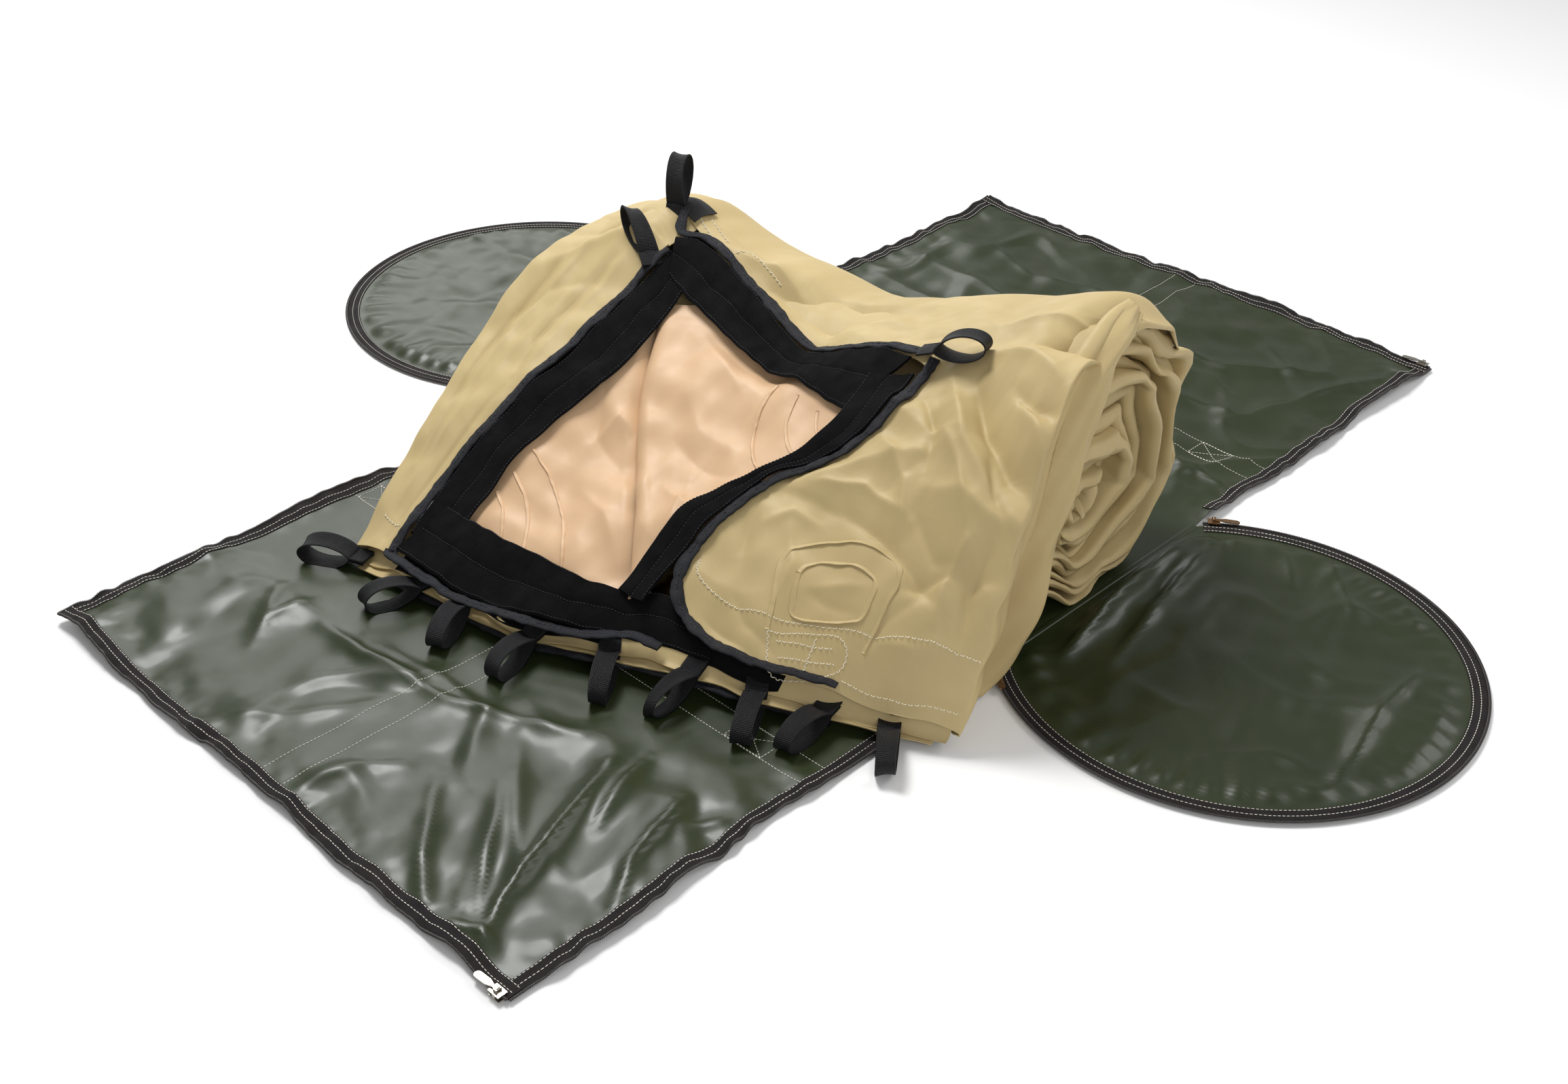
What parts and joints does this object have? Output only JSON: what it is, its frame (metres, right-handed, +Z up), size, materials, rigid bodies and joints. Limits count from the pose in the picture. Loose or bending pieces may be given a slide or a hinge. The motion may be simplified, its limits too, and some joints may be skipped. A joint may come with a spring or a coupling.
{
  "type": "soft folding stretcher on its opened carry bag",
  "caption": "Frameless soft stretcher of coated fabric, half rolled, with a bound mouth and webbing loops, lying on its opened zip-up carry bag.",
  "frame": {"origin": "on the ground under the middle of the bag's floor, on the underside of the lengthwise webbing", "axes": "+X across the bag, along the stretcher's roll, towards the roll's open end; +Y along the bag's long sides, away from the spread end; +Z up"},
  "size_m": [1.7802, 1.675, 0.3815],
  "materials": {
    "green_coated_sheet": "glossy PVC-coated polyester, dark olive green, faint weave, soft creases",
    "carry_webbing": "black polyester webbing",
    "zip_tape": "black woven zip tape with a moulded coil, two rows of off-white lock stitch",
    "nickel_slider": "nickel-plated zinc, slightly tarnished",
    "bronze_slider": "antique bronze plating, worn at the edges",
    "tan_coated_fabric": "polyurethane-coated fabric, matt sand tan with soft sheen",
    "peach_lining": "smooth coated lining, pale peach, satin",
    "hook_loop_band": "black loop pile on tape, matt",
    "edge_binding": "black woven edge binding, navy tinge, zigzag stitched",
    "loop_webbing": "black ribbed webbing, 26 mm wide"
  },
  "bodies": {
    "bag_floor": {"bag_floor": "green_coated_sheet", "floor_straps": "carry_webbing", "floor_right_zip": "zip_tape", "floor_left_zip": "zip_tape"},
    "front_wing": {"bag_front_wing": "green_coated_sheet", "front_wing_strap": "carry_webbing", "front_zip": "zip_tape", "front_wing_right_zip": "zip_tape", "front_wing_left_zip": "zip_tape"},
    "rear_wing": {"bag_rear_wing": "green_coated_sheet", "rear_wing_straps": "carry_webbing", "rear_zip": "zip_tape", "rear_wing_right_zip": "zip_tape", "rear_wing_left_zip": "zip_tape"},
    "right_flap": {"right_end_flap": "green_coated_sheet", "right_flap_zip": "zip_tape"},
    "left_flap": {"left_end_flap": "green_coated_sheet", "left_flap_zip": "zip_tape"},
    "stretcher": {"roll": "tan_coated_fabric", "folded_stack": "tan_coated_fabric", "under_layer_1": "tan_coated_fabric", "under_layer_2": "tan_coated_fabric", "left_lining": "peach_lining", "right_lining": "peach_lining", "left_side_panel": "tan_coated_fabric", "top_panel": "tan_coated_fabric", "front_flap": "tan_coated_fabric", "left_hook_loop_band": "hook_loop_band", "top_hook_loop_band": "hook_loop_band", "right_hook_loop_band": "hook_loop_band", "front_hook_loop_band": "hook_loop_band", "left_binding": "edge_binding", "top_binding": "edge_binding", "right_binding": "edge_binding", "front_binding": "edge_binding", "flap_binding": "edge_binding", "handle_patch": "tan_coated_fabric", "left_corner_ring": "peach_lining", "right_corner_ring": "peach_lining", "hem_loop_1": "loop_webbing", "hem_loop_2": "loop_webbing", "hem_loop_3": "loop_webbing", "hem_loop_4": "loop_webbing", "hem_loop_5": "loop_webbing", "hem_loop_6": "loop_webbing", "hem_loop_7": "loop_webbing", "hem_loop_8": "loop_webbing", "front_corner_loop": "loop_webbing", "peak_loop": "loop_webbing", "upper_left_loop": "loop_webbing", "side_corner_loop": "loop_webbing"},
    "front_zip_slider": {"front_zip_slider": "nickel_slider"},
    "front_zip_pull": {"front_zip_pull": "nickel_slider"},
    "rear_zip_slider": {"rear_zip_slider": "nickel_slider"},
    "rear_zip_pull": {"rear_zip_pull": "nickel_slider"},
    "flap_front_slider": {"flap_front_slider": "bronze_slider"},
    "flap_front_pull": {"flap_front_pull": "bronze_slider"},
    "flap_rear_slider": {"flap_rear_slider": "bronze_slider"},
    "flap_rear_pull": {"flap_rear_pull": "bronze_slider"}
  },
  "joints": [
    {"name": "front_wing_fold", "type": "hinge", "parent": "bag_floor", "child": "front_wing", "pos_m": [0, -0.576, 0.0039], "axis": [-1, 0, 0], "range_deg": [0, 90]},
    {"name": "rear_wing_fold", "type": "hinge", "parent": "bag_floor", "child": "rear_wing", "pos_m": [0, 0.262, 0.0039], "axis": [1, 0, 0], "range_deg": [0, 90]},
    {"name": "right_flap_fold", "type": "hinge", "parent": "bag_floor", "child": "right_flap", "pos_m": [0.3953, 0.058, 0.0039], "axis": [0, -1, 0], "range_deg": [0, 62]},
    {"name": "left_flap_fold", "type": "hinge", "parent": "bag_floor", "child": "left_flap", "pos_m": [-0.3953, 0.07, 0.0039], "axis": [0, 1, 0], "range_deg": [0, 78]},
    {"name": "stretcher_lift", "type": "slide", "parent": "bag_floor", "child": "stretcher", "axis": [0, 0, 1], "range_m": [0, 0.5]},
    {"name": "front_zip_run", "type": "slide", "parent": "front_wing", "child": "front_zip_slider", "axis": [-1, 0, 0], "range_m": [0, 0.776]},
    {"name": "rear_zip_run", "type": "slide", "parent": "rear_wing", "child": "rear_zip_slider", "axis": [-1, 0, 0], "range_m": [0, 0.776]},
    {"name": "flap_front_run", "type": "hinge", "parent": "right_flap", "child": "flap_front_slider", "pos_m": [0.5776, 0.058, 0.0047], "axis": [0, 0, 1], "range_deg": [0, 126]},
    {"name": "flap_rear_run", "type": "hinge", "parent": "right_flap", "child": "flap_rear_slider", "pos_m": [0.5776, 0.058, 0.0047], "axis": [0, 0, -1], "range_deg": [0, 126]},
    {"name": "front_zip_pull_swing", "type": "hinge", "parent": "front_zip_slider", "child": "front_zip_pull", "pos_m": [0.388, -0.832, 0.0102], "axis": [0, 1, 0], "range_deg": [0, 160]},
    {"name": "rear_zip_pull_swing", "type": "hinge", "parent": "rear_zip_slider", "child": "rear_zip_pull", "pos_m": [0.388, 0.832, 0.0102], "axis": [0, 1, 0], "range_deg": [0, 160]},
    {"name": "flap_front_pull_swing", "type": "hinge", "parent": "flap_front_slider", "child": "flap_front_pull", "pos_m": [0.40871, -0.15522, 0.0102], "axis": [-0.6209, -0.7839, 0], "range_deg": [0, 160]},
    {"name": "flap_rear_pull_swing", "type": "hinge", "parent": "flap_rear_slider", "child": "flap_rear_pull", "pos_m": [0.40871, 0.27122, 0.0102], "axis": [0.6209, -0.7839, 0], "range_deg": [0, 160]}
  ]
}
